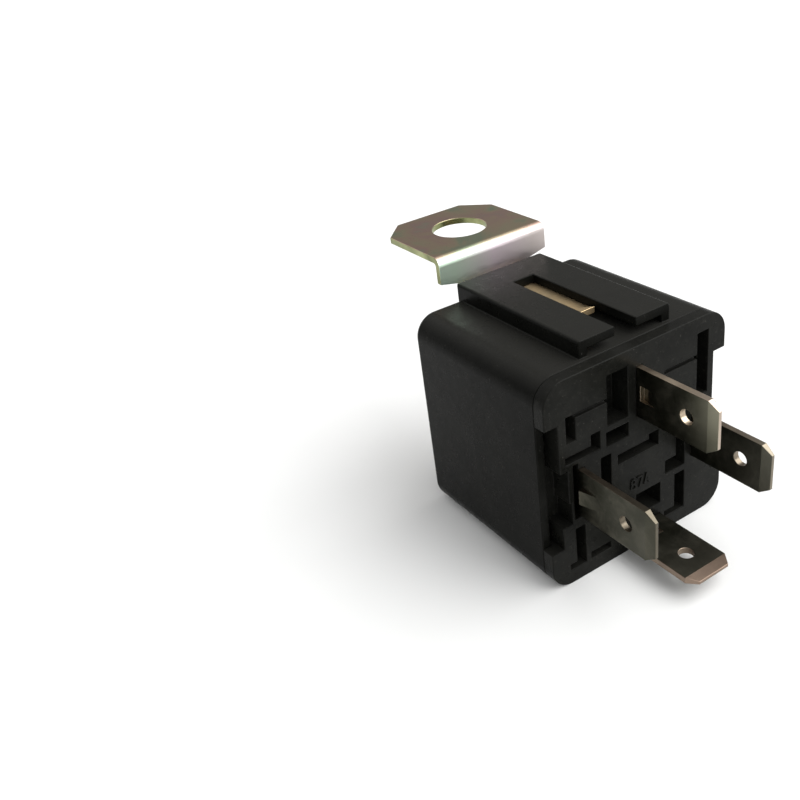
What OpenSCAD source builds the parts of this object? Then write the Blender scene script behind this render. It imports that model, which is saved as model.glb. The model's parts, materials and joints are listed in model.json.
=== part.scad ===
// Four-terminal automotive relay with a push-in mounting bracket.
// The relay lies on its flat underside: +Z is the face with the bracket rails, -Y the printed end,
// +Y the terminals. The origin is the centre of the underside.

/* [Case] */
// Width of the case
case_w = 27; // [26:0.5:32]
// Height of the case from its underside to the face with the rails
case_h = 27; // [26.5:0.5:32]
// Depth of case and base together, from the printed end to the terminal face
case_d = 24.6; // [23.6:0.2:30]
// Radius of the four long corners
corner_r = 2.9; // [2:0.1:3.4]
// Rounding around the printed end
end_fillet = 0.9; // [0.4:0.1:1.4]
// Thickness of the side walls
wall = 1.1; // [0.8:0.1:1.2]
// Thickness of the printed end wall
end_wall = 1.2; // [0.8:0.1:1.6]

/* [Bracket rails] */
// Width over both rails
rail_w = 13.3; // [12.5:0.1:15]
// Height of the rails above the case
rail_h = 2.1; // [1.8:0.1:2.6]
// Width of the open slot between the rails
slot_w = 3.1; // [2.6:0.1:4]
// Length of the closed bridge at the printed end
bridge_l = 4.75; // [3:0.25:7]
// Distance from the end of the rails to the seam
rail_inset = 0.5; // [0.3:0.1:2]
// Thickness of the side wall of each rail
rail_wall = 1.2; // [0.9:0.1:1.4]

/* [Bracket] */
// Thickness of the bracket's steel
strip_t = 0.8; // [0.7:0.05:1]
// Width of the bracket's plate and web
plate_w = 16.5; // [15:0.5:20]
// Length of the plate beyond the web
plate_l = 14.8; // [13:0.2:20]
// Height of the plate's upper face above the case
plate_rise = 5.5; // [4.5:0.1:8]
// Diameter of the mounting hole
hole_d = 7.2; // [5:0.1:8.4]
// Corner cut of the plate across its width
plate_cut_x = 3.2; // [1:0.1:4]
// Corner cut of the plate along its length
plate_cut_y = 3.4; // [1:0.1:4]
// Inside radius of both bends
bend_in_r = 0.4; // [0.3:0.05:0.7]
// Drop of the web's shoulders from their outer ends to the foot
shoulder_drop = 0.65; // [0.3:0.05:0.7]
// Gap between the web and the end of the rails
web_gap = 1; // [0.8:0.1:2]
// Length of the tongue inside the rails
tongue_l = 16.3; // [14:0.1:18]
// Length of the raised catch at the end of the tongue
catch_l = 2; // [1.5:0.1:3]
// Width of the raised catch
catch_w = 2.4; // [1.8:0.1:2.5]
// Height that the catch rises above the tongue
catch_rise = 0.7; // [0.5:0.05:0.9]
// Clearance of the tongue beside and above it
tongue_clear = 0.1; // [0.06:0.02:0.2]
// Clearance under the tongue
tongue_gap = 0.05; // [0.03:0.01:0.1]

/* [Base] */
// Thickness of the base's flange
flange_t = 1.6; // [1.2:0.1:2]
// Depth of the base's body inside the case
plug_t = 2.7; // [2.4:0.1:3.4]
// Clearance between the base's body and the case
plug_clear = 0.1; // [0.05:0.05:0.2]
// Depth of the notches in the flange's sides
notch_d = 1.8; // [1.4:0.1:2]
// Height of the notches
notch_h = 16.4; // [12:0.2:18]
// Height of the notches' lower end above the underside
notch_z = 5.4; // [4:0.2:6]
// Depth of the moulding pockets in the terminal face
pocket_d = 2.6; // [1.5:0.1:3]
// Clearance between a terminal and its slot
slot_clear = 0.04; // [0.02:0.01:0.08]

/* [Terminals] */
// Width of a blade
blade_w = 6.3; // [5.8:0.1:6.4]
// Thickness of a blade
blade_t = 0.8; // [0.7:0.05:0.9]
// Length of a blade beyond the terminal face
blade_l = 11.3; // [9:0.1:13]
// Corner cut at the tip, along the blade
tip_cut_l = 1.3; // [0.8:0.1:2]
// Corner cut at the tip, across the blade
tip_cut_w = 0.9; // [0.5:0.1:1.5]
// Thickness left at the tip by its two bevels
tip_t = 0.4; // [0.3:0.05:0.6]
// Diameter of the hole near the tip
eye_d = 1.8; // [1.2:0.1:2.2]
// Distance of that hole from the tip
eye_in = 4.1; // [3.5:0.1:5]
// Length of the lance that locks a blade in the base
lance_l = 2.3; // [1.6:0.1:2.3]
// Width of that lance
lance_w = 1.9; // [1.4:0.1:2.4]
// Distance of the lance's free end from the terminal face
lance_out = 0.5; // [0.3:0.05:0.5]
// Distance by which the lance's free end is pushed out
lance_push = 0.6; // [0.3:0.05:0.6]
// Distance between the planes of the two coil terminals
coil_pitch = 17.5; // [17:0.1:18.5]
// Height of the coil terminals' centre line above the underside
row_z = 12; // [11.8:0.1:12.6]
// Depth of terminal 30's centre line below the face with the rails
supply_down = 5.65; // [5.4:0.05:6]
// Height of terminal 87 above the underside
load_up = 2.6; // [2.4:0.05:3]
// Width of terminal 87 inside the case
load_leg_w = 4.5; // [4:0.1:5.5]
// Width of the solder posts of the coil terminals
post_w = 1.2; // [1:0.1:1.4]
// Length of the solder posts beyond the yoke's leg
post_l = 3.2; // [2.8:0.1:4]
// Distance of the wound wire end from the post's end
wrap_in = 1.2; // [1:0.1:1.6]
// Thickness of the solder around the posts
solder_t = 0.25; // [0.15:0.05:0.4]

/* [Coil and iron] */
// Thickness of the yoke
yoke_t = 1.5; // [1.2:0.1:1.7]
// Inside radius of the yoke's bend
yoke_bend_r = 0.6; // [0.4:0.1:1]
// Distance by which each edge of the yoke lies inside the bobbin's
yoke_side = 0.3; // [0.2:0.1:1]
// Height of the yoke's foot below the coil's axis
foot_down = 5.8; // [4:0.2:7]
// Diameter of the core
core_d = 5.6; // [4.5:0.1:6]
// Diameter of the core's staked end in the yoke
stake_d = 4.4; // [3:0.1:4.4]
// Diameter of the pole face
pole_d = 8.5; // [7:0.1:10]
// Side of the bobbin's square flanges
bobbin_w = 13.6; // [13:0.1:14]
// Corner radius of the bobbin's flanges
bobbin_corner = 1; // [0.4:0.1:2]
// Thickness of the bobbin's flanges
bobbin_flange_t = 1; // [0.7:0.1:1.3]
// Thickness of the bobbin's tube
bobbin_tube_t = 0.8; // [0.6:0.1:1.2]
// Height of the bobbin's flanges above the winding
winding_rim = 0.6; // [0.4:0.1:1.2]
// Turns of wire seen along the winding
turns_seen = 20; // [10:1:24]
// Diameter of the coil's wire ends
lead_d = 0.3; // [0.2:0.05:0.4]

/* [Armature and contacts] */
// Thickness of the armature
arm_t = 1.4; // [1.2:0.1:1.5]
// Distance by which each edge of the armature lies inside the yoke's
arm_side = 0.2; // [0.1:0.1:1]
// Width of the armature's neck between the yoke's lugs
neck_w = 10; // [9:0.1:10.4]
// Gap between the armature's shoulders and the yoke
shoulder_gap = 0.6; // [0.3:0.1:1]
// Corner cut at the armature's lower end
toe_cut = 2.5; // [1:0.1:3]
// Corner cut along the armature's hinged edge
edge_cut = 0.75; // [0.5:0.05:0.9]
// Angle by which the armature stands open at rest
open_angle = 4; // [3:0.25:5]
// Gap that is left at the pole and the contacts when closed
closed_gap = 0.03; // [0.02:0.01:0.05]
// Thickness of the contact spring
leaf_t = 0.3; // [0.2:0.05:0.35]
// Width of the contact spring at its bend
leaf_w = 9; // [7:0.1:9.6]
// Width of the contact spring at the contact
leaf_tip_w = 4.6; // [4:0.1:5]
// Inside radius of the contact spring's bend
leaf_bend_r = 1; // [0.8:0.1:1.2]
// Length over which the contact spring narrows towards the contact
leaf_taper_l = 4; // [2:0.5:6]
// Width of the window in the contact spring's bend
window_w = 3; // [2:0.1:3.4]
// Reach of that window on either side of the bend
window_l = 2; // [1:0.1:2.4]
// Distance from the yoke's free edge to the rivets in it
yoke_rivet_in = 3.6; // [3.2:0.1:5]
// Distance from the hinge to the rivets in the armature
arm_rivet_in = 4.2; // [3.6:0.1:6]
// Distance of the rivets from the middle
rivet_x = 2.7; // [2.4:0.1:3.2]
// Metal left around the rivets and the contact at the spring's ends
rim_w = 0.4; // [0.3:0.1:0.8]
// Diameter of the contact heads
contact_d = 3; // [2.4:0.1:3.2]
// Height of the contact heads
contact_h = 0.8; // [0.6:0.05:0.9]
// Diameter of the rivets' shanks
rivet_d = 1.6; // [1.2:0.1:1.8]
// Height of the rivets' heads
rivet_h = 0.4; // [0.3:0.05:0.5]
// Room between the open armature and the end wall
end_room = 0.35; // [0.2:0.05:1]
// Clearance of small fits and running gaps inside the case
fit_clear = 0.05; // [0.03:0.01:0.08]

/* [Hidden] */

$fn = 48;
over = 1; // how far a cut runs past a face

// planes along the depth
print_y = -case_d / 2;
face_y = case_d / 2;
seam_y = face_y - flange_t;
base_in_y = seam_y - plug_t;
tip_y = face_y + blade_l;
notch_in = max(flange_t, pocket_d);

// rails and tongue
channel_h = tongue_gap + strip_t + tongue_clear;
channel_w = rail_w - 2 * rail_wall;
tongue_w = channel_w - 2 * tongue_clear;
rail_end_y = seam_y - rail_inset;
bridge_y = print_y + bridge_l;
tongue_z = case_h + tongue_gap;
bend_out_r = bend_in_r + strip_t;
web_y = print_y - web_gap;
plate_z = case_h + plate_rise;
plate_end_y = web_y - plate_l;
tongue_end_y = print_y + tongue_l;

// terminals
supply_z = case_h - supply_down;
load_z = load_up;
coil_z = row_z;

// magnet
yoke_z = coil_z + bobbin_w / 2 + fit_clear;
winding_d = bobbin_w - 2 * winding_rim;
yoke_w = bobbin_w - 2 * yoke_side;
arm_w = yoke_w - 2 * arm_side;
hinge_z = yoke_z + yoke_t;
contact_z = load_z + blade_t / 2 + bend_in_r + contact_d / 2;
lever = hinge_z - contact_z;
pole_y = print_y + end_wall + end_room + rivet_h + leaf_t + arm_t + closed_gap + lever * tan(open_angle);
pole_h = 2 * contact_h + blade_t - arm_t + 2 * fit_clear;
bobbin_y = pole_y + pole_h;
foot_y = base_in_y - yoke_t;
hinge_y = pole_y - closed_gap;
arm_l = lever - contact_d / 2 - rim_w;
fixed_y = hinge_y - arm_t + contact_h + closed_gap;
tab_y = fixed_y + contact_h;
tab_top_z = contact_z + contact_d / 2 + 2 * fit_clear;
yoke_rivet_y = pole_y + yoke_rivet_in;
arm_rivet_z = -arm_rivet_in;
post_y = foot_y - post_l;
post_r = sqrt(pow(blade_t, 2) + pow(post_w, 2)) / 2;
lug_l = arm_t - 0.2;
head_d = 1.7 * rivet_d;

// a profile drawn in (Y, Z), w wide across X
module along_x(w) {
    translate([-w / 2, 0, 0]) rotate([90, 0, 90]) linear_extrude(w) children();
}

// an outline drawn in (X, Z), reaching from y0 to y1
module along_y(y0, y1) {
    translate([0, y1, 0]) rotate([90, 0, 0]) linear_extrude(y1 - y0) children();
}

module rod_y(y0, y1, r) {
    translate([0, y1, 0]) rotate([90, 0, 0]) cylinder(h = y1 - y0, r = r);
}

module rounded(w, h, r) {
    square([w - 2 * r, h], center = true);
    square([w, h - 2 * r], center = true);
    for (sx = [-1, 1], sz = [-1, 1])
        translate([sx * (w / 2 - r), sz * (h / 2 - r)]) circle(r);
}

// the case's outline, drawn in by d on every side
module case_outline(d = 0) {
    translate([0, case_h / 2]) rounded(case_w - 2 * d, case_h - 2 * d, corner_r - d);
}

// places children in the armature's own axes: the hinge is the origin, -Z runs down the plate
module in_armature() {
    translate([0, hinge_y, hinge_z]) rotate([-open_angle, 0, 0]) children();
}

// Y of the open armature's outer face at height z
function arm_out_y(z) = hinge_y - arm_t * cos(open_angle)
    + tan(open_angle) * (z - hinge_z - arm_t * sin(open_angle));

// the point at angle a of an arc about c
function arc_point(c, r, a) = c + r * [cos(a), sin(a)];

// points of an arc about c, from angle a0 to a1
function arc(c, r, a0, a1, steps = 8) =
    [for (i = [0 : steps]) arc_point(c, r, a0 + (a1 - a0) * i / steps)];

// quarter bend of a strip in (Y, Z) about its centre, from angle a0 to a1
module bend(r_in, t, a0, a1) {
    r = r_in + t;
    intersection() {
        difference() {
            circle(r);
            circle(r_in);
        }
        polygon([[0, 0], for (a = [a0, (a0 + a1) / 2, a1]) 2 * r * [cos(a), sin(a)]]);
    }
}

// section through the printed end, half wide on each side of the middle
module end_profile(half) {
    depth = seam_y - print_y;
    translate([-half, end_fillet]) square([2 * half, depth - end_fillet]);
    translate([end_fillet - half, 0]) square([2 * (half - end_fillet), depth]);
    for (s = [-1, 1])
        translate([s * (half - end_fillet), end_fillet]) circle(end_fillet);
}

// the case's outer form: two crossing slabs and four round corner posts
module rounded_end() {
    flat_w = case_w - 2 * corner_r;
    flat_h = case_h - 2 * corner_r;
    translate([0, print_y, corner_r]) linear_extrude(flat_h) end_profile(case_w / 2);
    translate([-flat_w / 2, print_y, case_h / 2]) rotate([0, 90, 0]) linear_extrude(flat_w)
        end_profile(case_h / 2);
    for (sx = [-1, 1], sz = [-1, 1])
        translate([sx * flat_w / 2, print_y, case_h / 2 + sz * flat_h / 2]) rotate([-90, 0, 0])
            rotate_extrude() intersection() {
                end_profile(corner_r);
                square([corner_r, case_d]);
            }
}

module rails() {
    round_r = 0.35;
    along_y(print_y, rail_end_y) {
        translate([-rail_w / 2, case_h - wall / 2]) square([rail_w, rail_h + wall / 2 - round_r]);
        translate([-rail_w / 2 + round_r, case_h]) square([rail_w - 2 * round_r, rail_h]);
        for (s = [-1, 1])
            translate([s * (rail_w / 2 - round_r), case_h + rail_h - round_r]) circle(round_r, $fn = 24);
    }
}

module case() {
    stop_z = row_z - 4;
    stop_w = 1.2;
    color("#26282a") {
        difference() {
            union() {
                rounded_end();
                rails();
            }
            along_y(print_y + end_wall, seam_y + over) case_outline(wall);
            // channel for the tongue, and the slot above it
            along_y(print_y - over, rail_end_y + over)
                translate([-channel_w / 2, case_h]) square([channel_w, channel_h]);
            along_y(bridge_y, rail_end_y + over)
                translate([-slot_w / 2, case_h + channel_h / 2]) square([slot_w, rail_h]);
        }
        // two ribs that the open armature rests against
        for (s = [-1, 1])
            translate([s * (arm_w / 2 - stop_w), 0, 0])
                along_y(print_y + end_wall / 2, arm_out_y(stop_z) - fit_clear)
                    translate([-stop_w / 2, stop_z]) square([stop_w, 2]);
    }
}

// a moulding pocket in the terminal face, its edges given as distances in X and heights in Z
module pocket(x0, x1, z0, z1, depth = pocket_d) {
    translate([x0, face_y - depth, z0]) cube([x1 - x0, depth + over, z1 - z0]);
}

module blade_slot() {
    c = 2 * slot_clear;
    translate([0, (base_in_y + face_y) / 2, 0])
        cube([blade_t + c, face_y - base_in_y + 2 * over, blade_w + c], center = true);
}

// hollows beside a coil terminal and beyond it, on the side of +X
module coil_side() {
    x = coil_pitch / 2 + blade_t / 2;
    pocket(x, x + 0.75, row_z - 3.3, row_z + 4);
    pocket(x + 1.5, case_w / 2 + over, row_z - 3.7, row_z + 3.6, notch_in);
    pocket(x + 1.1, x + 2.6, row_z - 3.7, row_z - 0.8);
}

// hollows around terminal 30
module supply_pockets() {
    groove = 0.5;
    groove_z = supply_z + 0.5;
    pocket(1.7, 4.75, supply_z - 2.5, supply_z + 3.75);
    pocket(4.7, 9.4, groove_z, groove_z + groove, groove);
    pocket(9.3, 10.6, supply_z - 2.3, groove_z + groove);
    pocket(-9.1, -3.8, groove_z, groove_z + groove, groove);
    pocket(-10.7, -9, supply_z - 4.4, supply_z + 3.7);
    pocket(5.9, 10.9, supply_z - 4.95, supply_z - 4);
    pocket(5.9, 7.2, supply_z - 4.95, supply_z - 2.6);
    pocket(1.7, 5, supply_z - 5.1, supply_z - 3.3);
}

// the unused fifth slot, its keyway and the hollows on either side of it
module middle_pockets() {
    pocket(-2.9, 3.4, row_z + 1, row_z + 2.35);
    pocket(-2.9, -1.45, row_z + 2.3, row_z + 3.05);
    pocket(4.4, 5.9, row_z - 2.8, row_z + 3.1);
    pocket(-7.2, -5.8, row_z - 3.7, row_z + 1);
    pocket(-7.2, -4, row_z - 3.7, row_z - 1.9);
}

// hollows around terminal 87
module load_pockets() {
    pocket(-3.2, 0.7, load_z + 1.95, load_z + 4.9);
    pocket(-7.2, -5.6, load_z - 0.7, load_z + 4.8);
    pocket(-5.7, -3.9, load_z - 0.7, load_z + 0.15);
    pocket(8.5, 9.9, load_z - 0.7, load_z + 4.8);
    pocket(9.8, 10.9, load_z - 0.7, load_z + 0.15);
    pocket(4.7, 7.8, load_z - 0.7, load_z + 0.3);
}

module base() {
    color("#222426") difference() {
        union() {
            along_y(seam_y, face_y) case_outline();
            along_y(base_in_y, seam_y) case_outline(wall + plug_clear);
        }
        // notches that show the rim of the case
        for (s = [-1, 1])
            translate([s * case_w / 2, face_y, notch_z + notch_h / 2])
                cube([2 * notch_d, 2 * notch_in, notch_h], center = true);
        // slots for the four blades
        translate([0, 0, supply_z]) blade_slot();
        translate([0, 0, load_z]) rotate([0, 90, 0]) blade_slot();
        for (s = [-1, 1]) translate([s * coil_pitch / 2, 0, row_z]) blade_slot();
        coil_side();
        mirror([1, 0, 0]) coil_side();
        supply_pockets();
        middle_pockets();
        load_pockets();
    }
}

module bracket() {
    web_in_y = web_y - strip_t;
    shoulder_z = case_h + rail_h;
    catch_y = tongue_end_y - catch_l;
    hole_y = (web_y + plate_end_y) / 2;
    color("#b3a58e") {
        // plate with its hole and two cut corners
        difference() {
            translate([0, 0, plate_z - strip_t]) linear_extrude(strip_t) polygon([
                [-plate_w / 2, web_y - bend_out_r], [-plate_w / 2, plate_end_y + plate_cut_y],
                [-plate_w / 2 + plate_cut_x, plate_end_y], [plate_w / 2 - plate_cut_x, plate_end_y],
                [plate_w / 2, plate_end_y + plate_cut_y], [plate_w / 2, web_y - bend_out_r]]);
            translate([0, hole_y, plate_z - strip_t - over]) cylinder(h = strip_t + 2 * over, d = hole_d);
        }
        along_x(plate_w)
            translate([web_y - bend_out_r, plate_z - bend_out_r]) bend(bend_in_r, strip_t, 0, 90);
        // web with its sloping shoulders and narrower foot
        along_y(web_in_y, web_y) polygon([
            [-plate_w / 2, plate_z - bend_out_r], [-plate_w / 2, shoulder_z],
            [-tongue_w / 2, shoulder_z - shoulder_drop], [-tongue_w / 2, tongue_z + bend_out_r],
            [tongue_w / 2, tongue_z + bend_out_r], [tongue_w / 2, shoulder_z - shoulder_drop],
            [plate_w / 2, shoulder_z], [plate_w / 2, plate_z - bend_out_r]]);
        // lower bend and tongue
        along_x(tongue_w) {
            translate([web_y + bend_in_r, tongue_z + bend_out_r]) bend(bend_in_r, strip_t, 180, 270);
            translate([web_y + bend_in_r, tongue_z]) square([catch_y - web_y - bend_in_r, strip_t]);
        }
        along_x(catch_w) polygon([[catch_y, tongue_z], [tongue_end_y, tongue_z + catch_rise],
            [tongue_end_y, tongue_z + strip_t + catch_rise], [catch_y, tongue_z + strip_t]]);
    }
}

// wedge of the lance on the side s of a blade: recessed behind it, standing out in front of it
module lance(s, depth) {
    x = s * blade_t / 2;
    y = face_y + lance_out;
    translate([0, 0, -lance_w / 2]) linear_extrude(lance_w)
        polygon([[x, y], [x + depth, y], [x, y + lance_l]]);
}

// blade from the inside of the base to its tip: thin across X, wide along Z
module plain_blade() {
    length = tip_y - base_in_y;
    w = blade_w / 2;
    translate([0, base_in_y, 0]) difference() {
        intersection() {
            along_x(blade_t) polygon([[0, -w], [length - tip_cut_l, -w], [length, -w + tip_cut_w],
                [length, w - tip_cut_w], [length - tip_cut_l, w], [0, w]]);
            translate([0, 0, -w]) linear_extrude(blade_w) polygon([[-blade_t / 2, 0], [blade_t / 2, 0],
                [blade_t / 2, length - tip_cut_l], [tip_t / 2, length], [-tip_t / 2, length],
                [-blade_t / 2, length - tip_cut_l]]);
        }
        translate([0, length - eye_in, 0]) rotate([0, 90, 0])
            cylinder(h = blade_t + 2 * over, d = eye_d, center = true);
    }
}

// the same blade with its lance pushed out to side s
module blade(s) {
    push = s * lance_push;
    lance(s, push);
    difference() {
        plain_blade();
        lance(-s, push);
    }
}

module terminal_30() {
    foot_w = 4.6;
    foot_front_y = foot_y - 3.5;
    bend_x = -blade_t / 2 + bend_in_r + blade_t;
    bend_z = hinge_z + bend_in_r + blade_t;
    color("#b9b39c") {
        translate([0, 0, supply_z]) blade(-1);
        // inner end, bent over to lie on the yoke
        along_y(foot_front_y, base_in_y) {
            translate([-blade_t / 2, bend_z]) square([blade_t, supply_z + blade_w / 2 - bend_z]);
            translate([bend_x, bend_z]) bend(bend_in_r, blade_t, 180, 270);
            translate([bend_x, hinge_z]) square([foot_w - bend_x, blade_t]);
        }
    }
}

module terminal_87() {
    bend_y = tab_y + bend_in_r;
    bend_z = load_z - blade_t / 2 + bend_in_r + blade_t;
    color("#b9b39c") {
        translate([0, 0, load_z]) rotate([0, 90, 0]) blade(1);
        difference() {
            along_x(load_leg_w) {
                translate([bend_y + blade_t, load_z - blade_t / 2])
                    square([seam_y - bend_y - blade_t, blade_t]);
                translate([bend_y + blade_t, bend_z]) bend(bend_in_r, blade_t, 180, 270);
                translate([tab_y, bend_z]) square([blade_t, tab_top_z - bend_z]);
            }
            translate([0, 0, contact_z]) rod_y(tab_y - over, tab_y + blade_t + over, rivet_d / 2 + fit_clear / 2);
        }
    }
}

module coil_terminal(s) {
    color("#b9b39c") translate([s * coil_pitch / 2, 0, row_z]) {
        blade(s);
        translate([-blade_t / 2, post_y, -post_w / 2]) cube([blade_t, base_in_y - post_y, post_w]);
    }
}

module terminal_85() coil_terminal(-1);

module terminal_86() coil_terminal(1);

module bobbin() {
    bore_r = core_d / 2 + fit_clear;
    relief = (yoke_bend_r + 2 * fit_clear) * sqrt(2);
    color("#d8d2c4") translate([0, 0, coil_z]) difference() {
        union() {
            along_y(bobbin_y, bobbin_y + bobbin_flange_t) rounded(bobbin_w, bobbin_w, bobbin_corner);
            along_y(foot_y - bobbin_flange_t, foot_y) rounded(bobbin_w, bobbin_w, bobbin_corner);
            rod_y(bobbin_y, foot_y, bore_r + bobbin_tube_t);
        }
        rod_y(bobbin_y - over, foot_y + over, bore_r);
        // relief for the inside of the yoke's bend
        translate([0, foot_y, bobbin_w / 2]) rotate([45, 0, 0])
            cube([bobbin_w + over, relief, relief], center = true);
    }
}

module winding() {
    y0 = bobbin_y + bobbin_flange_t + fit_clear;
    y1 = foot_y - bobbin_flange_t - fit_clear;
    pitch = (y1 - y0) / turns_seen;
    in_r = core_d / 2 + bobbin_tube_t + 2 * fit_clear;
    color("#a8552c") translate([0, y1, coil_z]) rotate([90, 0, 0]) rotate_extrude() {
        translate([in_r, 0]) square([winding_d / 2 - pitch / 2 - in_r, y1 - y0]);
        for (i = [0 : turns_seen - 1])
            translate([winding_d / 2 - pitch / 2, (i + 0.5) * pitch]) circle(d = pitch, $fn = 16);
    }
}

module core() {
    color("#8f9296") translate([0, 0, coil_z]) {
        rod_y(pole_y, bobbin_y, pole_d / 2);
        rod_y(pole_y, foot_y, core_d / 2);
        rod_y(pole_y, base_in_y, stake_d / 2);
    }
}

module yoke() {
    c = [base_in_y - yoke_bend_r - yoke_t, yoke_z - yoke_bend_r];
    foot_z = coil_z - foot_down;
    lug_w = (yoke_w - neck_w) / 2 - fit_clear;
    color("#9a9da0") difference() {
        union() {
            along_x(yoke_w) polygon([[pole_y, hinge_z], each arc(c, yoke_bend_r + yoke_t, 90, 0),
                [base_in_y, foot_z], [foot_y, foot_z], each arc(c, yoke_bend_r, 0, 90), [pole_y, yoke_z]]);
            // lugs that hold the armature sideways
            for (s = [-1, 1])
                translate([s * (yoke_w - lug_w) / 2, pole_y, yoke_z + yoke_t / 2])
                    cube([lug_w, 2 * lug_l, yoke_t], center = true);
        }
        translate([0, 0, coil_z]) rod_y(foot_y - over, base_in_y + over, stake_d / 2);
        for (s = [-1, 1]) translate([s * rivet_x, yoke_rivet_y, yoke_z - over])
            cylinder(h = yoke_t + 2 * over, d = rivet_d + fit_clear);
    }
}

module armature() {
    top_l = arm_t - edge_cut;
    neck_h = yoke_t + shoulder_gap;
    color("#9a9da0") in_armature() difference() {
        intersection() {
            // the top edge clears the contact spring's bend
            along_x(arm_w) polygon([[0, -fit_clear], [-top_l, -fit_clear - top_l * tan(open_angle)],
                [-arm_t, -leaf_bend_r - fit_clear], [-arm_t, -arm_l], [0, -arm_l]]);
            along_y(-arm_t, 0) polygon([[-neck_w / 2, 0], [neck_w / 2, 0], [neck_w / 2, -neck_h],
                [arm_w / 2, -neck_h], [arm_w / 2, -arm_l + toe_cut], [arm_w / 2 - toe_cut, -arm_l],
                [-arm_w / 2 + toe_cut, -arm_l], [-arm_w / 2, -arm_l + toe_cut], [-arm_w / 2, -neck_h],
                [-neck_w / 2, -neck_h]]);
        }
        for (s = [-1, 1]) translate([s * rivet_x, 0, arm_rivet_z])
            rod_y(-arm_t - over, over, (rivet_d + fit_clear) / 2);
    }
}

module contact_spring() {
    // centre of the bend, first in the armature's axes
    cy = -arm_t + leaf_bend_r;
    cz = (-leaf_bend_r + cy * sin(open_angle)) / cos(open_angle);
    c = [hinge_y + cy * cos(open_angle) + cz * sin(open_angle), hinge_z - leaf_bend_r];
    bend_end = 180 - open_angle;
    tip_z = -lever - contact_d / 2 - rim_w;
    leaf = (cz - tip_z) * [-sin(open_angle), -cos(open_angle)];
    pad_end_y = yoke_rivet_y + rivet_d + 1.5 * rim_w;
    shank_r = (rivet_d + fit_clear) / 2;
    color("#c79a52") difference() {
        intersection() {
            // pad on the yoke, bend, and leaf down the armature's outer face
            along_x(leaf_w) polygon([[pad_end_y, hinge_z], [pad_end_y, hinge_z + leaf_t],
                each arc(c, leaf_bend_r + leaf_t, 90, bend_end), arc_point(c, leaf_bend_r + leaf_t, bend_end) + leaf,
                arc_point(c, leaf_bend_r, bend_end) + leaf, each arc(c, leaf_bend_r, bend_end, 90)]);
            // its width: narrower at the contact
            in_armature() along_y(-arm_t - over, pad_end_y - hinge_y + over) polygon([
                [-leaf_w / 2, over], [leaf_w / 2, over], [leaf_w / 2, -arm_l + leaf_taper_l],
                [leaf_tip_w / 2, -arm_l], [leaf_tip_w / 2, tip_z - over],
                [-leaf_tip_w / 2, tip_z - over], [-leaf_tip_w / 2, -arm_l], [-leaf_w / 2, -arm_l + leaf_taper_l]]);
        }
        // window that softens the bend
        translate([-window_w / 2, c[0] - window_l, hinge_z - window_l])
            cube([window_w, 1.4 * window_l, 2 * window_l]);
        for (s = [-1, 1]) translate([s * rivet_x, 0, 0]) {
            translate([0, yoke_rivet_y, hinge_z - over]) cylinder(h = leaf_t + 2 * over, r = shank_r);
            in_armature() translate([0, 0, arm_rivet_z]) rod_y(-arm_t - leaf_t - over, 0, shank_r);
        }
        in_armature() translate([0, 0, -lever]) rod_y(-arm_t - leaf_t - over, 0, shank_r);
    }
}

module yoke_rivets() {
    color("#c9ccd0") for (s = [-1, 1]) translate([s * rivet_x, yoke_rivet_y, 0]) {
        translate([0, 0, yoke_z]) cylinder(h = yoke_t + leaf_t, d = rivet_d);
        translate([0, 0, hinge_z + leaf_t]) cylinder(h = rivet_h, d = head_d);
    }
}

module armature_rivets() {
    color("#c9ccd0") in_armature() for (s = [-1, 1]) translate([s * rivet_x, 0, arm_rivet_z]) {
        rod_y(-arm_t - leaf_t, 0, rivet_d / 2);
        rod_y(-arm_t - leaf_t - rivet_h, -arm_t - leaf_t, head_d / 2);
    }
}

module moving_contact() {
    color("#d9d9d4") in_armature() translate([0, 0, -lever]) {
        rod_y(-arm_t, -arm_t + contact_h, contact_d / 2);
        rod_y(-arm_t - leaf_t, -arm_t, rivet_d / 2);
        rod_y(-arm_t - leaf_t - rivet_h, -arm_t - leaf_t, 0.75 * rivet_d);
    }
}

module fixed_contact() {
    color("#d9d9d4") translate([0, 0, contact_z]) {
        rod_y(fixed_y, tab_y, contact_d / 2);
        rod_y(tab_y, tab_y + blade_t, rivet_d / 2);
    }
}

// wire end from the winding, wound three times round the solder post
module coil_lead(s) {
    ring_r = post_r + fit_clear + lead_d / 2;
    rise = 0.75 * ring_r;
    start_x = sqrt(pow(winding_d / 2, 2) - pow(rise, 2)) + fit_clear;
    end_x = coil_pitch / 2 - sqrt(pow(ring_r, 2) - pow(rise, 2));
    color("#b5602f") translate([0, post_y + wrap_in, row_z]) {
        translate([s * coil_pitch / 2, 0, 0]) rotate([-90, 0, 0]) rotate_extrude()
            for (i = [0 : 2]) translate([ring_r, 0.9 * i * lead_d]) circle(d = lead_d, $fn = 16);
        translate([s * (start_x + end_x) / 2, 0, rise]) rotate([0, 90, 0])
            cylinder(h = end_x - start_x, d = lead_d, center = true, $fn = 16);
    }
}

module coil_lead_85() coil_lead(-1);

module coil_lead_86() coil_lead(1);

module coil_solder() {
    color("#c4c7c9") for (s = [-1, 1])
        translate([s * coil_pitch / 2, 0, row_z]) difference() {
            rod_y(post_y - solder_t, post_y + wrap_in - lead_d / 2, post_r + solder_t);
            translate([-blade_t / 2, post_y, -post_w / 2]) cube([blade_t, post_l, post_w]);
        }
}

case();
base();
bracket();
terminal_30();
terminal_87();
terminal_85();
terminal_86();
bobbin();
winding();
core();
yoke();
armature();
contact_spring();
yoke_rivets();
armature_rivets();
moving_contact();
fixed_contact();
coil_lead_85();
coil_lead_86();
coil_solder();
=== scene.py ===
import json
import math

import bmesh
import bpy
from mathutils import Matrix, Quaternion, Vector


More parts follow.
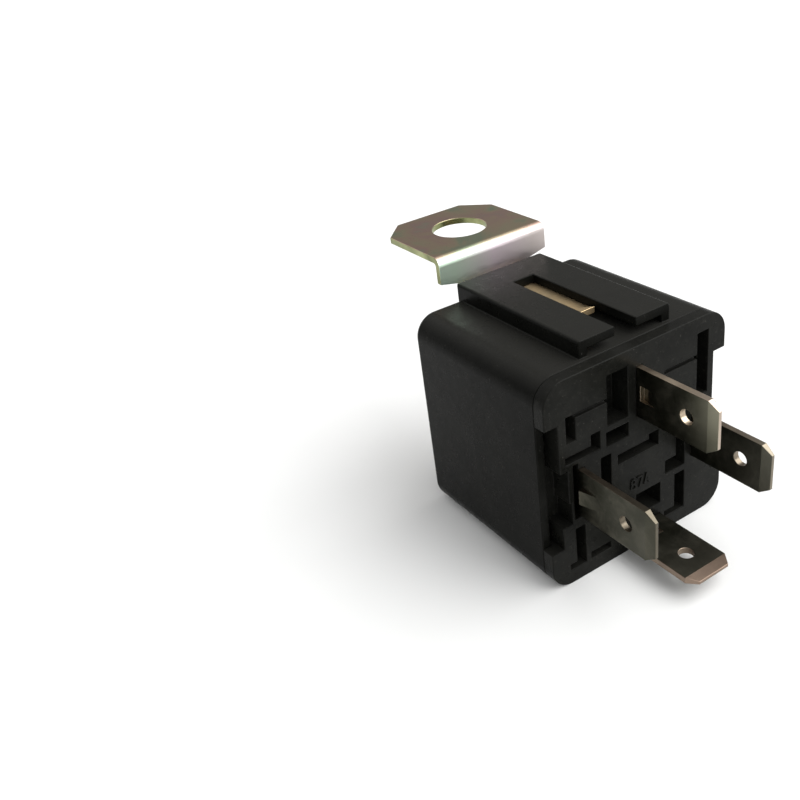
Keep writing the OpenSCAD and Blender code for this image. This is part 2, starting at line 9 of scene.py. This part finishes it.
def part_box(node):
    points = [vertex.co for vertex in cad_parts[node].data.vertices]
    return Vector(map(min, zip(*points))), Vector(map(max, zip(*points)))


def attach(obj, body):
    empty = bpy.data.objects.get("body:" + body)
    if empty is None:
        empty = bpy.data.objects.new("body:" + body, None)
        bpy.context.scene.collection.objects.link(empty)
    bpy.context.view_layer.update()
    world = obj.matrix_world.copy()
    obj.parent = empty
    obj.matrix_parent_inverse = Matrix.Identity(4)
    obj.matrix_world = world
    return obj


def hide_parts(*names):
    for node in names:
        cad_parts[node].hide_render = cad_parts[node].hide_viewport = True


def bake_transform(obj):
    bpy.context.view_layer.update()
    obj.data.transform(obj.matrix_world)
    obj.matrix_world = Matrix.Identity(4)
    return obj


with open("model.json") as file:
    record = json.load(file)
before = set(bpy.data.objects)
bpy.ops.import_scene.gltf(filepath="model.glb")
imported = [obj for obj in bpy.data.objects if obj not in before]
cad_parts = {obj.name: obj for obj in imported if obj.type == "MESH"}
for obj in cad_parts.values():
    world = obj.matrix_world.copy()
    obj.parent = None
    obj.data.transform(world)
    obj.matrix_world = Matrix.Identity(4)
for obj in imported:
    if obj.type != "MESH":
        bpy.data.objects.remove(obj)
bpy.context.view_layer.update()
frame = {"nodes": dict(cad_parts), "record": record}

nodes = frame["nodes"]
mm = 0.001  # lengths below are in millimetres; the copied contact spring keeps the metres of the CAD mesh


def toMetres(point):
    return Vector(point) * mm


def nodeBox(name):
    low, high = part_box(name)
    return low / mm, high / mm


print("frame loaded:", len(nodes), "nodes")


# materials: every pattern is worked out in millimetres on the piece itself
def startMaterial(name):
    mat = bpy.data.materials.new(name)
    mat.use_nodes = True
    tree = mat.node_tree
    coords = tree.nodes.new("ShaderNodeTexCoord")
    scale = tree.nodes.new("ShaderNodeVectorMath")
    scale.operation = "SCALE"
    scale.inputs["Scale"].default_value = 1 / mm
    tree.links.new(coords.outputs["Object"], scale.inputs[0])
    return mat, tree, tree.nodes["Principled BSDF"], scale.outputs[0]


def stretched(tree, vector, factors):
    node = tree.nodes.new("ShaderNodeVectorMath")
    node.operation = "MULTIPLY"
    node.inputs[1].default_value = factors
    tree.links.new(vector, node.inputs[0])
    return node.outputs[0]


def noiseOf(tree, vector, scale, detail=3, rough=0.5, distortion=0):
    node = tree.nodes.new("ShaderNodeTexNoise")
    node.inputs["Scale"].default_value = scale
    node.inputs["Detail"].default_value = detail
    node.inputs["Roughness"].default_value = rough
    node.inputs["Distortion"].default_value = distortion
    tree.links.new(vector, node.inputs["Vector"])
    return node.outputs["Fac"]


def rampOf(tree, fac, stops):
    node = tree.nodes.new("ShaderNodeValToRGB")
    ramp = node.color_ramp
    while len(ramp.elements) < len(stops):
        ramp.elements.new(0.5)
    for element, (place, colour) in zip(ramp.elements, stops):
        element.position = place
        element.color = (*colour, 1)
    tree.links.new(fac, node.inputs["Fac"])
    return node.outputs["Color"]


def darkToLight(tree, fac, use, start=0.3, stop=0.7):
    return rampOf(tree, fac, [(start, use["dark"]), (stop, use["light"])])


def spread(tree, value, low, high, fromLow=0.3, fromHigh=0.7):
    node = tree.nodes.new("ShaderNodeMapRange")
    node.inputs["From Min"].default_value = fromLow
    node.inputs["From Max"].default_value = fromHigh
    for socket, source in (("To Min", low), ("To Max", high)):
        if hasattr(source, "links"):
            tree.links.new(source, node.inputs[socket])
        else:
            node.inputs[socket].default_value = source
    tree.links.new(value, node.inputs["Value"])
    return node.outputs["Result"]


# inputs 6 and 7 and output 2 are the colour sockets of this node
def blendColours(tree, fac, first, second, kind="MIX"):
    node = tree.nodes.new("ShaderNodeMix")
    node.data_type = "RGBA"
    node.blend_type = kind
    for source, socket in ((fac, node.inputs[0]), (first, node.inputs[6]), (second, node.inputs[7])):
        if hasattr(source, "links"):
            tree.links.new(source, socket)
        else:
            socket.default_value = source if isinstance(source, float) else (*source, 1)
    return node.outputs[2]


def bumpOf(tree, shader, height, depth, strength=1.0, under=None):
    node = tree.nodes.new("ShaderNodeBump")
    node.inputs["Distance"].default_value = depth * mm
    node.inputs["Strength"].default_value = strength
    tree.links.new(height, node.inputs["Height"])
    if under:
        tree.links.new(under, node.inputs["Normal"])
    tree.links.new(node.outputs["Normal"], shader.inputs["Normal"])
    return node.outputs["Normal"]


# noise is given as scale, detail, roughness and distortion
plasticGrain = {
    "cloud": (0.25, 4, 0.6),
    "dust": (1.7, 6, 0.75, 0.5),
    "dustTo": 0.8,
    "specks": (3.6, 1),
    "speckEdge": 0.03,
    "paintedTopLightFacing": (0.55, 0.98),
    "sheen": (0.9, 5),
    "waves": (0.18, 2),
    "waveDepth": 0.12,
    "waveStrength": 0.5,
    "grainDepth": 0.02,
    "grainStrength": 0.6,
}
# each plastic: its colour, lighter dust and specks, and a lighter colour on faces that look up, which is
# painted light from above
mouldedPlastic = {
    "case": {"dark": (0.0036, 0.0037, 0.0031), "light": (0.0066, 0.0067, 0.0056), "rough": (0.24, 0.38),
             "grain": (5.0, 4, 0.65), "gloss": 0.04, "dust": (0.016, 0.016, 0.014), "dustFrom": 0.60,
             "paintedTopLightColour": (0.024, 0.0235, 0.021), "paintedTopLightAmount": 0.65,
             "specks": (0.032, 0.031, 0.028), "specksFrom": 0.755},
    "base": {"dark": (0.0046, 0.0047, 0.004), "light": (0.0105, 0.0106, 0.009), "rough": (0.24, 0.40),
             "grain": (4.0, 4, 0.65), "gloss": 0.055, "dust": (0.030, 0.029, 0.025), "dustFrom": 0.56,
             "paintedTopLightColour": (0.020, 0.0195, 0.0175), "paintedTopLightAmount": 0.2,
             "specks": (0.05, 0.048, 0.042), "specksFrom": 0.755},
}


# black plastic with faint dust in patches and fine specks; faces that look up are painted lighter, as painted
# light from above
def plasticMaterial(name, use, grain):
    mat, tree, shader, place = startMaterial(name)
    cloudy = noiseOf(tree, place, *grain["cloud"])
    colour = darkToLight(tree, cloudy, use)
    dusty = spread(tree, noiseOf(tree, place, *grain["dust"]), 0, 1, use["dustFrom"], grain["dustTo"])
    colour = blendColours(tree, dusty, colour, use["dust"])
    specksTo = use["specksFrom"] + grain["speckEdge"]
    speckled = spread(tree, noiseOf(tree, place, *grain["specks"]), 0, 1, use["specksFrom"], specksTo)
    colour = blendColours(tree, speckled, colour, use["specks"])
    # faces that look up turn towards a lighter colour: painted light from above
    facing = tree.nodes.new("ShaderNodeSeparateXYZ")
    tree.links.new(tree.nodes.new("ShaderNodeTexCoord").outputs["Normal"], facing.inputs[0])
    paintedTopLightFacing = spread(tree, facing.outputs["Z"], 0, use["paintedTopLightAmount"], *grain["paintedTopLightFacing"])
    tree.links.new(blendColours(tree, paintedTopLightFacing, colour, use["paintedTopLightColour"]), shader.inputs["Base Color"])
    sheen = noiseOf(tree, place, *grain["sheen"])
    tree.links.new(spread(tree, sheen, *use["rough"]), shader.inputs["Roughness"])
    shader.inputs["Specular IOR Level"].default_value = use["gloss"]
    fine = noiseOf(tree, place, *use["grain"])
    broad = noiseOf(tree, place, *grain["waves"])
    waves = bumpOf(tree, shader, broad, grain["waveDepth"], grain["waveStrength"])
    bumpOf(tree, shader, fine, grain["grainDepth"], grain["grainStrength"], waves)
    return mat


passivationAndWebLight = {
    "plate": [(0.34, (0.33, 0.37, 0.25)), (0.42, (0.44, 0.38, 0.25)), (0.50, (0.47, 0.35, 0.25)),
              (0.58, (0.46, 0.31, 0.26)), (0.68, (0.38, 0.37, 0.27))],
    # the web's colours: passivation hues across its width, made far lighter than the plate's zinc as painted
    # light
    "web": [(0.25, (0.56, 0.50, 0.48)), (0.5, (0.82, 0.71, 0.76)), (0.75, (0.72, 0.88, 0.72))],
    "tongue": [(0.35, (0.60, 0.45, 0.26)), (0.65, (0.48, 0.38, 0.24))],
    "cut": [(0.35, (0.13, 0.14, 0.06)), (0.65, (0.34, 0.36, 0.18))],
    "rough": (0.27, 0.38),
    "webRough": (0.39, 0.50),
    "tongueRough": (0.50, 0.60),
    "cloud": (0.16, 3, 0.55, 0.6),
    "stretch": (0.6, 6, 6),
    "streaks": (1.2, 4, 0.6),
    "depth": 0.006,
    "strength": 0.5,
    # the next two: the height near the top of the bend where the web's painted light starts, and the height
    # over which it fades in
    "webPaintedLightTop": 32.45,
    "fade": 0.6,
    "halfWidth": 12,
}


# zinc with its passivation colours; the outer face of the web gets a much lighter colour, painted light,
# which fades in below the plate from near the top of the bend and so widens the bend's highlight
def passivatedSteelAndWebLight(name, use, zone):
    mat, tree, shader, place = startMaterial(name)
    cloud = noiseOf(tree, place, *use["cloud"])
    colour = rampOf(tree, cloud, use["plate" if zone == "web" else zone])
    if zone == "web":
        axes = tree.nodes.new("ShaderNodeSeparateXYZ")
        tree.links.new(place, axes.inputs[0])
        across = spread(tree, axes.outputs["X"], 0, 1, -use["halfWidth"], use["halfWidth"])
        below = spread(tree, axes.outputs["Z"], 1, 0, use["webPaintedLightTop"] - use["fade"], use["webPaintedLightTop"])
        colour = blendColours(tree, below, colour, rampOf(tree, across, use["web"]))
    tree.links.new(colour, shader.inputs["Base Color"])
    shader.inputs["Metallic"].default_value = 1
    streaks = noiseOf(tree, stretched(tree, place, use["stretch"]), *use["streaks"])
    rough = use.get(zone + "Rough", use["rough"])
    tree.links.new(spread(tree, streaks, *rough), shader.inputs["Roughness"])
    bumpOf(tree, shader, streaks, use["depth"], use["strength"])
    return mat


tinnedBlade = {
    "face": [(0.36, (0.045, 0.045, 0.030)), (0.5, (0.080, 0.078, 0.058)), (0.66, (0.16, 0.15, 0.115))],
    "rough": (0.28, 0.44),
    "edge": [(0.3, (0.20, 0.16, 0.12)), (0.7, (0.34, 0.28, 0.21))],
    "stains": (0.35, 5, 0.6, 0.4),
    "stretch": (9, 0.5, 9),
    "scratches": (1.0, 5, 0.7),
    "depth": 0.008,
    "strength": 0.5,
}
# how each blade is toned: faces and cut edges made lighter or darker, painted light and shade; their colours
# towards the tip, painted reflection (painted shade on blade 86); and the places along Y where that starts
# and is full
bladeTones = {
    "terminal_30": {"face": 0.78, "edge": 1.7, "tipPaintedLight": (0.25, 0.24, 0.18), "tipEdgePaintedLight": (0.46, 0.38, 0.31),
                    "from": 19.2, "to": 23.6},
    "terminal_85": {"face": 1.0, "edge": 1.0, "tipPaintedLight": (0.13, 0.125, 0.10), "tipEdgePaintedLight": (0.20, 0.18, 0.14),
                    "from": 15, "to": 26},
    "terminal_86": {"face": 0.7, "edge": 0.6, "tipPaintedLight": (0.056, 0.054, 0.040), "tipEdgePaintedLight": (0.11, 0.10, 0.075),
                    "from": 15, "to": 26},
    "terminal_87": {"face": 1.0, "edge": 1.0, "tipPaintedLight": (0.15, 0.14, 0.11), "tipEdgePaintedLight": (0.24, 0.17, 0.13),
                    "from": 15, "to": 26},
}


def toned(stops, tone):
    return [(place, tuple(part * tone for part in colour)) for place, colour in stops]


def tinnedBrass(name, use, tone, stops, tipPaintedLight):
    mat, tree, shader, place = startMaterial(name)
    stains = noiseOf(tree, place, *use["stains"])
    axes = tree.nodes.new("ShaderNodeSeparateXYZ")
    tree.links.new(place, axes.inputs[0])
    # towards the tip the colour turns to the given tip colour: painted reflection, on blade 86 painted shade
    tipward = spread(tree, axes.outputs["Y"], 0, 1, tone["from"], tone["to"])
    colour = blendColours(tree, tipward, rampOf(tree, stains, stops), tipPaintedLight)
    tree.links.new(colour, shader.inputs["Base Color"])
    shader.inputs["Metallic"].default_value = 1
    scratches = noiseOf(tree, stretched(tree, place, use["stretch"]), *use["scratches"])
    tree.links.new(spread(tree, scratches, *use["rough"]), shader.inputs["Roughness"])
    bumpOf(tree, shader, scratches, use["depth"], use["strength"])
    return mat


# a finish of the inner pieces: one mottle drives its colour, its sheen and its relief
def simpleFinish(name, use, detail=4, coarse=0.6, strength=0.5):
    mat, tree, shader, place = startMaterial(name)
    drawn = stretched(tree, place, use.get("stretch", (1, 1, 1)))
    mottle = noiseOf(tree, drawn, use["scale"], detail, coarse)
    tree.links.new(darkToLight(tree, mottle, use), shader.inputs["Base Color"])
    tree.links.new(spread(tree, mottle, *use["rough"]), shader.inputs["Roughness"])
    shader.inputs["Metallic"].default_value = use["metal"]
    bumpOf(tree, shader, mottle, use["depth"], strength)
    return mat


innerFinishes = {
    "bobbinNylon": {"nodes": ["bobbin"], "dark": (0.55, 0.51, 0.42), "light": (0.68, 0.64, 0.55),
                    "rough": (0.4, 0.55), "metal": 0, "scale": 1.5, "depth": 0.01},
    "enamelWire": {"nodes": ["winding", "coil_lead_85", "coil_lead_86"], "dark": (0.36, 0.10, 0.04),
                   "light": (0.62, 0.22, 0.09), "rough": (0.2, 0.34), "metal": 1, "scale": 3, "depth": 0.01},
    "softIron": {"nodes": ["core", "yoke", "armature"], "dark": (0.36, 0.36, 0.36),
                 "light": (0.52, 0.52, 0.51), "rough": (0.3, 0.46), "metal": 1, "scale": 0.8,
                 "depth": 0.008, "stretch": (1, 3, 3)},
    "rivetSteel": {"nodes": ["yoke_rivets", "armature_rivets"], "dark": (0.48, 0.48, 0.48),
                   "light": (0.64, 0.64, 0.63), "rough": (0.28, 0.4), "metal": 1, "scale": 2, "depth": 0.006},
    "contactSilver": {"nodes": ["moving_contact", "fixed_contact"], "dark": (0.62, 0.61, 0.58),
                      "light": (0.82, 0.81, 0.79), "rough": (0.2, 0.36), "metal": 1, "scale": 2,
                      "depth": 0.006},
    "solder": {"nodes": ["coil_solder"], "dark": (0.44, 0.45, 0.46), "light": (0.66, 0.67, 0.68),
               "rough": (0.16, 0.4), "metal": 1, "scale": 1.6, "depth": 0.02},
    "springBronze": {"nodes": ["contact_spring"], "dark": (0.50, 0.33, 0.16), "light": (0.68, 0.47, 0.25),
                     "rough": (0.24, 0.36), "metal": 1, "scale": 1.2, "depth": 0.005, "stretch": (6, 1, 1)},
}


def wear(obj, *mats):
    obj.data.materials.clear()
    for mat in mats:
        obj.data.materials.append(mat)


casePlastic = plasticMaterial("casePlastic", mouldedPlastic["case"], plasticGrain)
basePlastic = plasticMaterial("basePlastic", mouldedPlastic["base"], plasticGrain)
steelZones = ("plate", "cut", "web", "tongue")
bracketSteels = [passivatedSteelAndWebLight(zone + "Steel", passivationAndWebLight, zone) for zone in steelZones]
finishes = {}
for finishName, use in innerFinishes.items():
    finishes[finishName] = simpleFinish(finishName, use)
    for node in use["nodes"]:
        wear(nodes[node], finishes[finishName])
print("materials made")


def bodyOf(node):
    for body, members in frame["record"]["behaviour"]["bodies"].items():
        if node in members:
            return body


# in degrees: faces that meet at less than "flat" are joined, edges above "sharp" are rounded
bevelSet = {"merge": 0.0002, "flat": 0.5, "sharp": 38, "weight": 80}


# a bevelled copy of a CAD solid: same form, with the small radius that a mould or a press leaves
def bevelledCopy(node, name, use):
    mesh = nodes[node].data.copy()
    mesh.name = name
    mesh.transform(Matrix.Scale(1 / mm, 4))
    bm = bmesh.new()
    bm.from_mesh(mesh)
    bmesh.ops.remove_doubles(bm, verts=bm.verts, dist=bevelSet["merge"])
    flat = math.radians(bevelSet["flat"])
    bmesh.ops.dissolve_limit(bm, angle_limit=flat, verts=bm.verts, edges=bm.edges)
    bm.to_mesh(mesh)
    bm.free()
    sharp = math.radians(bevelSet["sharp"])
    mesh.polygons.foreach_set("use_smooth", [True] * len(mesh.polygons))
    mesh.set_sharp_from_angle(angle=sharp)
    piece = bpy.data.objects.new(name, mesh)
    bpy.context.collection.objects.link(piece)
    edge = piece.modifiers.new("edge", "BEVEL")
    edge.width = use["bevel"]
    edge.segments = use["segments"]
    edge.limit_method = "ANGLE"
    edge.angle_limit = sharp
    edge.use_clamp_overlap = False
    normals = piece.modifiers.new("normals", "WEIGHTED_NORMAL")
    normals.keep_sharp = True
    normals.weight = bevelSet["weight"]
    bpy.context.view_layer.update()
    evaluated = piece.evaluated_get(bpy.context.evaluated_depsgraph_get())
    shaped = bpy.data.meshes.new_from_object(evaluated)
    piece.modifiers.clear()
    piece.data = shaped
    shaped.transform(Matrix.Scale(mm, 4))
    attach(piece, bodyOf(node))
    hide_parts(node)
    return piece


caseSet = {"bevel": 0.12, "segments": 2}
case = bevelledCopy("case", "caseShell", caseSet)
wear(case, casePlastic)

baseSet = {"bevel": 0.1, "segments": 2}
base = bevelledCopy("base", "basePlate", baseSet)
wear(base, basePlastic)

# finish by zone: cut edges, plate and bend, outer face of the web with its painted light, tongue
bracketSet = {"bevel": 0.07, "segments": 2, "side": 0.7, "upright": 0.5, "outward": 0.1,
              "plateFrom": 2.3, "webHeight": 4}
bracket = bevelledCopy("bracket", "bracketPlate", bracketSet)
wear(bracket, *bracketSteels)
caseEnd = nodeBox("case")[0].y
bracketTop = nodeBox("bracket")[1].z
for face in bracket.data.polygons:
    spot = face.center / mm
    onPlate = spot.y < caseEnd - bracketSet["plateFrom"]
    upright = abs(face.normal.z) < bracketSet["upright"]
    zone = "plate"
    if abs(face.normal.x) > bracketSet["side"] or (onPlate and upright):
        zone = "cut"
    elif spot.z < bracketTop - bracketSet["webHeight"] or spot.y > caseEnd:
        zone = "tongue"
    elif not onPlate and face.normal.y > bracketSet["outward"]:
        zone = "web"
    face.material_index = steelZones.index(zone)

bladeSet = {"bevel": 0.05, "segments": 2, "edge": 0.6, "cutTip": 0.995}
for node, tone in bladeTones.items():
    number = node.split("_")[1]
    # the face and edge ramps, scaled lighter or darker per blade: painted light and shade
    faceStops, edgeStops = (toned(tinnedBlade[zone], tone[zone]) for zone in ("face", "edge"))
    bladeFace = tinnedBrass("bladeFace" + number, tinnedBlade, tone, faceStops, tone["tipPaintedLight"])
    bladeEdge = tinnedBrass("bladeEdge" + number, tinnedBlade, tone, edgeStops, tone["tipEdgePaintedLight"])
    blade = bevelledCopy(node, "blade" + number, bladeSet)
    wear(blade, bladeFace, bladeEdge)
    liesFlat = node == "terminal_87"
    thin, limit = (2, bladeSet["cutTip"]) if liesFlat else (0, bladeSet["edge"])
    for face in blade.data.polygons:
        face.material_index = int(abs(face.normal[thin]) < limit)
print("housing, bracket and blades dressed")


# figures and signs drawn with round-ended strokes; a figure fills a cell from (0, 0) to (1, 1)
def arcOf(centre, radii, start, stop, steps=14):
    turns = [math.radians(start + (stop - start) * i / steps) for i in range(steps + 1)]
    return [(centre[0] + radii[0] * math.cos(a), centre[1] + radii[1] * math.sin(a)) for a in turns]


figures = {
    "0": [arcOf((0.5, 0.5), (0.5, 0.5), 0, 360, 28)],
    "1": [[(0.1, 0.76), (0.55, 1)], [(0.55, 1), (0.55, 0)]],
    "2": [arcOf((0.5, 0.71), (0.48, 0.29), 165, -35), [(0.89, 0.54), (0.03, 0)], [(0.03, 0), (1, 0)]],
    "3": [arcOf((0.44, 0.76), (0.46, 0.24), 150, -90), arcOf((0.44, 0.26), (0.54, 0.26), 90, -150)],
    "5": [[(0.94, 1), (0.14, 1)], [(0.14, 1), (0.08, 0.54)], arcOf((0.46, 0.32), (0.52, 0.32), 137, -148)],
    "6": [arcOf((0.5, 0.3), (0.5, 0.3), 0, 360, 24), arcOf((0.9, 0.3), (0.9, 0.7), 180, 102)],
    "7": [[(0, 1), (1, 1)], [(1, 1), (0.36, 0)]],
    "8": [arcOf((0.5, 0.27), (0.5, 0.27), 0, 360, 24), arcOf((0.5, 0.77), (0.42, 0.23), 0, 360, 24)],
    "V": [[(0, 1), (0.5, 0)], [(0.5, 0), (1, 1)]],
    "A": [[(0, 0), (0.5, 1)], [(0.5, 1), (1, 0)], [(0.2, 0.34), (0.8, 0.34)]],
}


def writtenStrokes(text, left, foot, width, height, pitch):
    return [[(left + i * pitch + x * width, foot + z * height) for x, z in stroke]
            for i, figure in enumerate(text) for stroke in figures[figure]]


def strokeOutline(points, half):
    path = [Vector(p) for p in points]
    left, right = [], []
    for i, here in enumerate(path):
        along = (path[min(i + 1, len(path) - 1)] - path[max(i - 1, 0)]).normalized()
        aside = Vector((-along.y, along.x)) * half
        left.append(here + aside)
        right.append(here - aside)
    caps = []
    for end, along in ((path[-1], path[-1] - path[-2]), (path[0], path[0] - path[1])):
        start = math.degrees(math.atan2(along.y, along.x)) + 90
        caps.append([Vector(p) for p in arcOf(end, (half, half), start, start - 180, 8)][1:-1])
    return left, right, caps


# a flat stroke as a closed solid, its root sunk in a face; place turns (across, up, out) into a point
def addStroke(bm, points, half, depth, place, sunk=-0.05, touch=0.001):
    closed = (Vector(points[0]) - Vector(points[-1])).length < touch
    if closed:
        points = points[:-1]
        count = len(points)
        rims = []
        for i, here in enumerate(points):
            along = (Vector(points[(i + 1) % count]) - Vector(points[i - 1])).normalized()
            aside = Vector((-along.y, along.x)) * half
            rims.append((Vector(here) + aside, Vector(here) - aside))
        corners = [[bm.verts.new(place(rim[side].x, rim[side].y, out)) for side, out in
                    ((0, sunk), (1, sunk), (1, depth), (0, depth))] for rim in rims]
        for i in range(count):
            near, far = corners[i], corners[(i + 1) % count]
            for j in range(4):
                bm.faces.new((near[j], near[(j + 1) % 4], far[(j + 1) % 4], far[j]))
        return
    left, right, caps = strokeOutline(points, half)
    outline = left + caps[0] + right[::-1] + caps[1]
    rings = [[bm.verts.new(place(p.x, p.y, out)) for p in outline] for out in (sunk, depth)]
    for ring in rings:
        bm.faces.new(ring)
    for i in range(len(outline)):
        j = (i + 1) % len(outline)
        bm.faces.new((rings[0][i], rings[0][j], rings[1][j], rings[1][i]))


# heights rise by a hair and start again after each cycle, so strokes that follow each other share no plane
def strokesPiece(name, strokes, depth, place, hair=0.0015, cycle=5):
    bm = bmesh.new()
    for i, (points, width) in enumerate(strokes):
        addStroke(bm, points, width / 2, depth + hair * (i % cycle), place)
    bmesh.ops.recalc_face_normals(bm, faces=bm.faces)
    mesh = bpy.data.meshes.new(name)
    bm.to_mesh(mesh)
    bm.free()
    mesh.transform(Matrix.Scale(mm, 4))
    piece = bpy.data.objects.new(name, mesh)
    bpy.context.collection.objects.link(piece)
    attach(piece, "housing")
    return piece


printSet = {
    "stroke": 0.36, "thin": 0.26, "ring": 0.42, "depth": 0.02, "ringRadius": 0.575,
    "height": 2.1, "pitch": 1.5,
    "dark": (0.38, 0.385, 0.37), "light": (0.60, 0.605, 0.58),
    "mottle": (2.2, 5, 0.7), "darkTo": 0.35, "lightFrom": 0.6, "rough": (0.5, 0.7),
    "texts": [("12V", -6.55, 18.72, 0.98), ("86", -5.30, 13.64, 0.98), ("85", -5.2, 4.4, 0.98),
              ("87", 5.86, 13.64, 0.98), ("30", 5.95, 4.4, 0.98), ("30", 3.83, 18.72, 0.98),
              ("A", 6.82, 18.72, 1.32)],
    "rings": [(-6.2, 16.55), (-6.2, 5.49), (5.1, 16.71), (4.81, 5.49)],
    "lines": [[(-6.3, 15.7), (-6.24, 12.7)], [(-8.47, 12.52), (-3.99, 12.52)],
              [(-8.47, 10.47), (-3.99, 10.47)], [(-8.47, 10.47), (-8.47, 12.52)],
              [(-3.99, 10.47), (-3.99, 12.52)], [(-5.6, 12.4), (-6.95, 10.6)],
              [(-6.29, 10.29), (-6.22, 6.38)], [(5.05, 15.81), (5.09, 12.7)],
              [(3.36, 13.35), (4.34, 11.5)], [(4.34, 11.5), (5.11, 9.96)], [(5.11, 9.96), (5.13, 6.26)]],
    "dashes": [(-3.65, -2.25), (-1.5, -0.72), (0.5, 1.27), (2.7, 4.0)],
    "dashHeight": 11.61,
}
printY = nodeBox("case")[0].y


def printedStrokes(use):
    strokes = []
    for text, left, foot, width in use["texts"]:
        written = writtenStrokes(text, left, foot, width, use["height"], use["pitch"])
        strokes += [(points, use["stroke"]) for points in written]
    radius = use["ringRadius"]
    strokes += [(arcOf(centre, (radius, radius), 0, 360, 28), use["ring"]) for centre in use["rings"]]
    strokes += [(points, use["stroke"]) for points in use["lines"]]
    level = use["dashHeight"]
    strokes += [([(start, level), (stop, level)], use["thin"]) for start, stop in use["dashes"]]
    return strokes


def inkMaterial(use):
    mat, tree, shader, place = startMaterial("ink")
    mottle = noiseOf(tree, place, *use["mottle"])
    colour = darkToLight(tree, mottle, use, use["darkTo"], use["lightFrom"])
    tree.links.new(colour, shader.inputs["Base Color"])
    tree.links.new(spread(tree, mottle, *use["rough"]), shader.inputs["Roughness"])
    return mat


marks = strokesPiece("printedMarks", printedStrokes(printSet), printSet["depth"],
                     lambda across, up, out: (across, printY - out, up))
wear(marks, inkMaterial(printSet))

# raised number beside the unused slot, read from the terminal side; its cell is width, height and pitch
raisedSet = {"text": "87A", "left": -1.55, "foot": 8.6, "cell": (0.72, 1.35, 1.05), "stroke": 0.2,
             "depth": 0.15}
terminalY = nodeBox("base")[1].y
raisedFigures = writtenStrokes(raisedSet["text"], raisedSet["left"], raisedSet["foot"], *raisedSet["cell"])
raisedStrokes = [(points, raisedSet["stroke"]) for points in raisedFigures]
raised = strokesPiece("raisedNumber", raisedStrokes, raisedSet["depth"],
                      lambda across, up, out: (-across, terminalY + out, up))
wear(raised, basePlastic)
print("print and raised number made")


# a copy of the contact spring in place of the CAD piece; its mesh stays in metres
leaf = bpy.data.objects.new("contactLeaf", nodes["contact_spring"].data.copy())
bpy.context.collection.objects.link(leaf)
wear(leaf, finishes["springBronze"])
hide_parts("contact_spring")
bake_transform(leaf)


# stage, light and camera
stageSet = {"size": 4000, "light": (0.80, 0.80, 0.79), "dark": (0.76, 0.76, 0.75), "mottle": (0.02, 3),
            "rough": 0.85}


def makeStage(use):
    bpy.ops.mesh.primitive_plane_add(size=use["size"] * mm)
    floor = bpy.context.object
    floor.name = "floor"
    mat, tree, shader, place = startMaterial("floorPaper")
    mottle = noiseOf(tree, place, *use["mottle"])
    tree.links.new(darkToLight(tree, mottle, use), shader.inputs["Base Color"])
    shader.inputs["Roughness"].default_value = use["rough"]
    wear(floor, mat)


lampSet = {
    "key": {"towards": (0.52, -0.40, -0.74), "angle": 66, "strength": 3.6},
    "fill": {"towards": (-0.35, -0.75, -0.55), "angle": 60, "strength": 0.5},
    "back": {"towards": (-0.3, 0.85, -0.42), "angle": 60, "strength": 0.7},
}
roomSet = {"dark": (0.17, 0.165, 0.16), "light": (0.66, 0.67, 0.68), "axis": (-0.2, 0.9, 0.42),
           "reach": 0.8}


def makeLamps(lamps, room):
    for name, use in lamps.items():
        data = bpy.data.lights.new(name, "SUN")
        data.angle = math.radians(use["angle"])
        data.energy = use["strength"]
        lamp = bpy.data.objects.new(name, data)
        lamp.rotation_mode = "QUATERNION"
        lamp.rotation_quaternion = Vector(use["towards"]).to_track_quat("-Z", "Y")
        bpy.context.collection.objects.link(lamp)
    world = bpy.data.worlds.new("room")
    world.use_nodes = True
    tree = world.node_tree
    coords = tree.nodes.new("ShaderNodeTexCoord")
    side = tree.nodes.new("ShaderNodeVectorMath")
    side.operation = "DOT_PRODUCT"
    side.inputs[1].default_value = room["axis"]
    tree.links.new(coords.outputs["Generated"], side.inputs[0])
    across = spread(tree, side.outputs["Value"], 0, 1, -room["reach"], room["reach"])
    shade = rampOf(tree, across, [(0, room["dark"]), (1, room["light"])])
    tree.links.new(shade, tree.nodes["Background"].inputs["Color"])
    bpy.context.scene.world = world


cameraSet = {"place": (62.3, 76.5, 73.9), "aim": (18.2, 0.7, 25.9), "roll": -7.3, "lens": 41.5,
             "shift": (-0.05, -0.03), "clip": (5, 20000)}


def makeCamera(use):
    data = bpy.data.cameras.new("camera")
    data.lens = use["lens"]
    data.shift_x, data.shift_y = use["shift"]
    data.clip_start, data.clip_end = (reach * mm for reach in use["clip"])
    camera = bpy.data.objects.new("camera", data)
    camera.location = toMetres(use["place"])
    camera.rotation_mode = "QUATERNION"
    look = toMetres(use["aim"]) - camera.location
    roll = Quaternion((0, 0, 1), math.radians(use["roll"]))
    camera.rotation_quaternion = look.to_track_quat("-Z", "Y") @ roll
    bpy.context.collection.objects.link(camera)
    bpy.context.scene.camera = camera


makeStage(stageSet)
makeLamps(lampSet, roomSet)
makeCamera(cameraSet)
bpy.context.scene.view_settings.view_transform = "Standard"
print("stage, lamps and camera placed")
